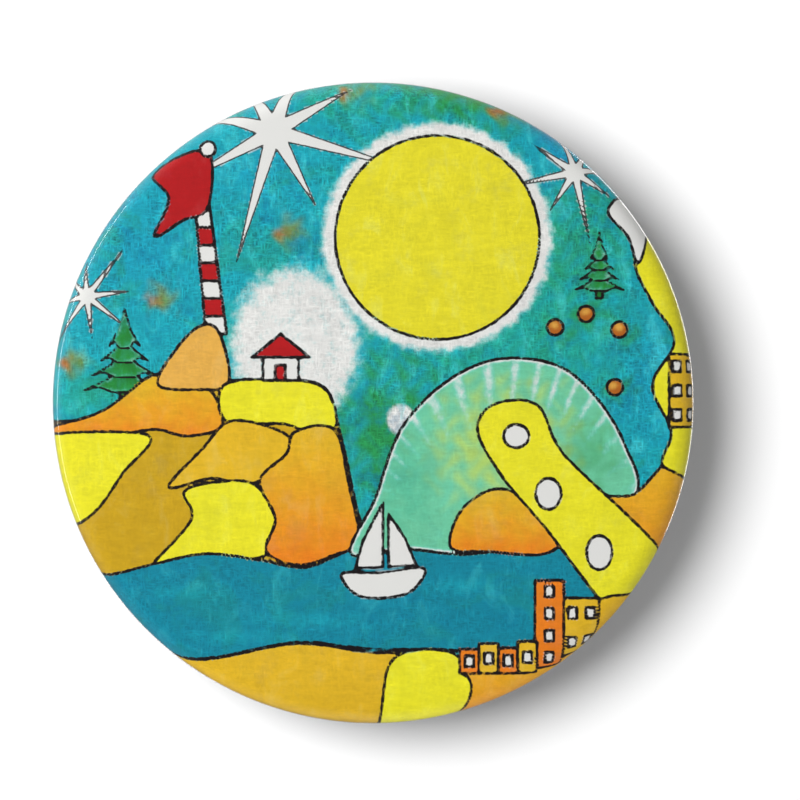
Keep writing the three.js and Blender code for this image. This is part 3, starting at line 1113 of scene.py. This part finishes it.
def make_needle():
    tip, root = NEEDLE_LOW.x, HINGE.x - 0.9 * MM
    taper = 7 * MM
    section = [(0.0, tip)]
    for i in range(1, 15):
        share = i / 14
        section.append((WIRE_RADIUS * (0.04 + 0.96 * share ** 0.75), tip + taper * share))
    section += [(WIRE_RADIUS, tip + taper + (root - tip - taper) * k / 4) for k in (1, 2, 3)]
    section += [(WIRE_RADIUS, root), (0.0, root)]
    wire = turned_piece("needle", section, 32, about_pin)
    half, eye = 0.75 * MM, NEEDLE_HIGH.x - HINGE.x
    barrel = rounded([(PIVOT_BORE, -half), (eye, -half), (eye, half), (PIVOT_BORE, half)],
                     0.16 * MM)
    ring = turned_piece("eye", barrel, 64, about_hinge)
    needle = joined("needle_wire", wire, ring)
    steel = metal_material("polished_needle_steel", colour(228, 229, 230), 0.1, 0.3)
    finish_piece(needle, "needle", "needle_steel", steel, "pin_needle")


def rib_tree():
    """Geometry Nodes: a row of rounded ribs along Z, each lying along Y."""
    tree = bpy.data.node_groups.new("grip ribs", "GeometryNodeTree")
    sockets = {}
    for label, kind in (("Count", "Int"), ("Step", "Float"), ("Length", "Float"),
                        ("Radius", "Float"), ("Finish", "Material")):
        socket = tree.interface.new_socket(label, in_out="INPUT", socket_type="NodeSocket" + kind)
        sockets[label] = socket.identifier
    tree.interface.new_socket("Geometry", in_out="OUTPUT", socket_type="NodeSocketGeometry")
    given, result = tree.nodes.new("NodeGroupInput"), tree.nodes.new("NodeGroupOutput")
    count, step, length, radius, finish = given.outputs[:5]
    apart = added(tree, "ShaderNodeCombineXYZ", Z=step)
    row = added(tree, "GeometryNodeMeshLine", Count=count, Offset=apart.outputs["Vector"])
    ball = added(tree, "GeometryNodeMeshUVSphere", Segments=12, Rings=8, Radius=1.0)
    size = added(tree, "ShaderNodeCombineXYZ", X=radius, Y=length, Z=radius)
    copies = added(tree, "GeometryNodeInstanceOnPoints", Points=row.outputs["Mesh"],
                   Instance=ball.outputs["Mesh"], Scale=size.outputs["Vector"])
    real = added(tree, "GeometryNodeRealizeInstances", Geometry=copies.outputs["Instances"])
    smooth = added(tree, "GeometryNodeSetShadeSmooth", Geometry=real.outputs["Geometry"])
    coated = added(tree, "GeometryNodeSetMaterial", Geometry=smooth.outputs["Geometry"],
                   Material=finish)
    give(tree, result, Geometry=coated.outputs["Geometry"])
    return tree, sockets


def make_ribs(material):
    """Grip ribs on the outer side of the thumb tab."""
    tree, sockets = rib_tree()
    maker = new_object("ribs_maker", bpy.data.meshes.new("ribs_maker"))
    modifier = maker.modifiers.new("ribs", "NODES")
    modifier.node_group = tree
    for label, value in (("Count", 4), ("Step", 0.52 * MM), ("Length", 0.85 * MM),
                         ("Radius", 0.15 * MM), ("Finish", material)):
        modifier[sockets[label]] = value
    mesh = evaluated_mesh(maker)
    bpy.data.objects.remove(maker)
    first_rib = 2.35 * MM
    to_tab = (Matrix.Translation((CATCH_LOW.x + 0.06 * MM, PIN_Y, PIN_Z))
              @ Matrix.Rotation(TAB_TURN - math.pi / 2, 4, "X")
              @ Matrix.Translation((0, 0, first_rib)))
    mesh.transform(to_tab)
    return new_object("tab_ribs", mesh)


def make_catch():
    inboard, outboard = HOUSING_X[1] + CATCH_PLAY, HOUSING_X[0] - CATCH_PLAY
    collar = open_ring(COLLAR_RADIUS, CATCH_BORE, CATCH_SLOT)
    sleeve = open_ring(CATCH_RADIUS, CATCH_BORE, CATCH_SLOT)
    parts = [
        plate_piece("sleeve", [sleeve], CATCH_LOW.x + 0.3 * MM, CATCH_HIGH.x - 0.2 * MM,
                    0.02 * MM, along_pin),
        plate_piece("collar_out", [collar], CATCH_LOW.x, outboard, 0.12 * MM, along_pin),
        plate_piece("collar_in", [collar], inboard, CATCH_HIGH.x, 0.12 * MM, along_pin),
    ]
    half, root = TAB_WIDTH / 2, CATCH_RADIUS * 0.8
    loop = [(-half, root), (half, root)]
    loop += arc((0, TAB_REACH - half), half, 0, 180, 28)
    turn = Matrix.Rotation(TAB_TURN, 3, "X")

    def on_tab(u, v, height):
        point = turn @ Vector((0, v, u))
        return (height, PIN_Y + point.y, PIN_Z + point.z)

    parts.append(plate_piece("tab", [loop], CATCH_LOW.x, CATCH_LOW.x + TAB, 0.15 * MM, on_tab))
    catch = joined("catch_sleeve", *parts)
    nickel = metal_material("catch_nickel_plate", colour(224, 224, 223), 0.14, 0.6)
    finish_piece(catch, "catch", "catch_nickel", nickel, "safety_catch")
    finish_piece(make_ribs(nickel), "catch", "catch_nickel", nickel)


# ---- stage, light, camera


def white_board():
    """Matt white, with a painted glow that brightens it towards the floor, and clear from behind.
    """
    material = bpy.data.materials.new("white_board")
    material.use_nodes = True
    tree = material.node_tree
    tree.nodes.clear()
    place = tree.nodes.new("ShaderNodeTexCoord").outputs["Object"]
    height = added(tree, "ShaderNodeSeparateXYZ", Vector=place).outputs["Z"]
    # Painted light: an emission that grows towards the floor, though the board is no lamp.
    painted_floor_glow = ranged(tree, height, -0.05, -FLOOR_DROP, 0.0, 0.5)
    white = added(tree, "ShaderNodeBsdfDiffuse", Color=(0.93, 0.93, 0.93))
    painted_glow = added(tree, "ShaderNodeEmission", Strength=painted_floor_glow)
    both = in_order(tree, "ShaderNodeAddShader", white.outputs[0], painted_glow.outputs[0])
    clear = tree.nodes.new("ShaderNodeBsdfTransparent")
    geometry = tree.nodes.new("ShaderNodeNewGeometry")
    mix = in_order(tree, "ShaderNodeMixShader", geometry.outputs["Backfacing"],
                   both.outputs[0], clear.outputs[0])
    in_order(tree, "ShaderNodeOutputMaterial", mix.outputs[0])
    return material


def make_stage():
    """A white board just behind the badge that sweeps down to a pale floor."""
    gap, sweep, half, high, front = 1.3 * MM, 0.06, 0.08, 0.45, -0.9
    back = cad_high.y + gap
    line = [(back, high)]
    for i in range(17):
        turn = math.pi / 2 * i / 16
        line.append((back - sweep * (1 - math.cos(turn)),
                     -FLOOR_DROP + sweep * (1 - math.sin(turn))))
    line.append((front, -FLOOR_DROP))
    verts = [(x, y, z) for y, z in line for x in (-half, half)]
    faces = [[2 * i, 2 * i + 2, 2 * i + 3, 2 * i + 1] for i in range(len(line) - 1)]
    board = new_piece("backdrop", verts, faces)
    board.data.materials.append(white_board())
    board.visible_shadow = False
    board.visible_diffuse = False
    board.visible_glossy = False


def aim(thing, place, target):
    thing.location = place
    thing.rotation_mode = "QUATERNION"
    thing.rotation_quaternion = (Vector(target) - Vector(place)).to_track_quat("-Z", "Y")


def area_light(name, place, size, power, height=None, mirrored=False):
    """A round light, or a strip of the given height, aimed at the badge."""
    light = bpy.data.lights.new(name, "AREA")
    light.energy = power
    light.shape = "RECTANGLE" if height else "DISK"
    light.size = size
    if height:
        light.size_y = height
    thing = new_object(name, light)
    thing.visible_camera = False
    thing.visible_glossy = mirrored
    aim(thing, place, (0, 0, 0))


def make_lights():
    key_away, rim_away = 0.6, 0.42
    area_light("key", Vector((-0.44, -1.0, 0.15)) * key_away, 0.36, 4.75)
    area_light("rim_strip", (-0.42, 0.05, 0.06), 0.035, 0.5, 0.5, mirrored=True)
    for name, degrees, power in (("rim_below", -90, 1.1), ("rim_right", -20, 0.5),
                                 ("rim_above", 90, 0.8)):
        turn = math.radians(degrees)
        place = (rim_away * math.cos(turn), 0.05, rim_away * math.sin(turn))
        area_light(name, place, 0.3, power)
    area_light("back_fill", (-0.35, 0.45, 0.35), 0.55, 1.7)
    area_light("back_strip", (0.3, 0.4, 0.1), 0.08, 0.6, 0.5, mirrored=True)


def make_surroundings():
    """A white studio. What the gloss mirrors is brighter above, behind and to the left."""
    world = bpy.data.worlds.new("studio")
    bpy.context.scene.world = world
    world.use_nodes = True
    tree = world.node_tree
    tree.nodes.clear()
    place = tree.nodes.new("ShaderNodeTexCoord").outputs["Generated"]
    way = added(tree, "ShaderNodeSeparateXYZ", Vector=place)
    mirrored = 1.0
    for axis, low, high, to_low, to_high in (("Z", -0.5, 0.7, 0.9, 2.6),
                                             ("Y", -0.9, -0.1, 0.1, 1.0),
                                             ("X", 0.1, 0.8, 1.0, 0.2)):
        share = ranged(tree, way.outputs[axis], low, high, to_low, to_high)
        mirrored = maths(tree, "MULTIPLY", mirrored, share)
    path = tree.nodes.new("ShaderNodeLightPath")
    shade = mixed(tree, path.outputs["Is Glossy Ray"], (1.0, 1.0, 1.0), mirrored)
    around = added(tree, "ShaderNodeBackground", Strength=0.23, Color=shade)
    seen = added(tree, "ShaderNodeBackground", Strength=1.0, Color=(1.0, 1.0, 1.0))
    mix = in_order(tree, "ShaderNodeMixShader", path.outputs["Is Camera Ray"],
                   around.outputs[0], seen.outputs[0])
    in_order(tree, "ShaderNodeOutputWorld", mix.outputs[0])


def make_camera():
    """Square on to the face, with a long lens. The disc sits a little left of centre."""
    distance, view_width, rim_y = 0.6, 72.36 * MM, -1.3 * MM
    lens = bpy.data.cameras.new("camera")
    lens.sensor_width = 36
    lens.lens = lens.sensor_width * distance / view_width
    lens.clip_start, lens.clip_end = 0.01, 10
    camera = new_object("camera", lens)
    x, z = 2.433 * MM, 0.253 * MM
    aim(camera, (x, rim_y - distance, z), (x, 0, z))
    bpy.context.scene.camera = camera
    bpy.context.scene.view_settings.view_transform = "Standard"


make_camera()
make_disc()
make_back_plate()
make_tape()
make_bar()
make_rivet()
make_needle()
make_catch()
make_stage()
make_lights()
make_surroundings()
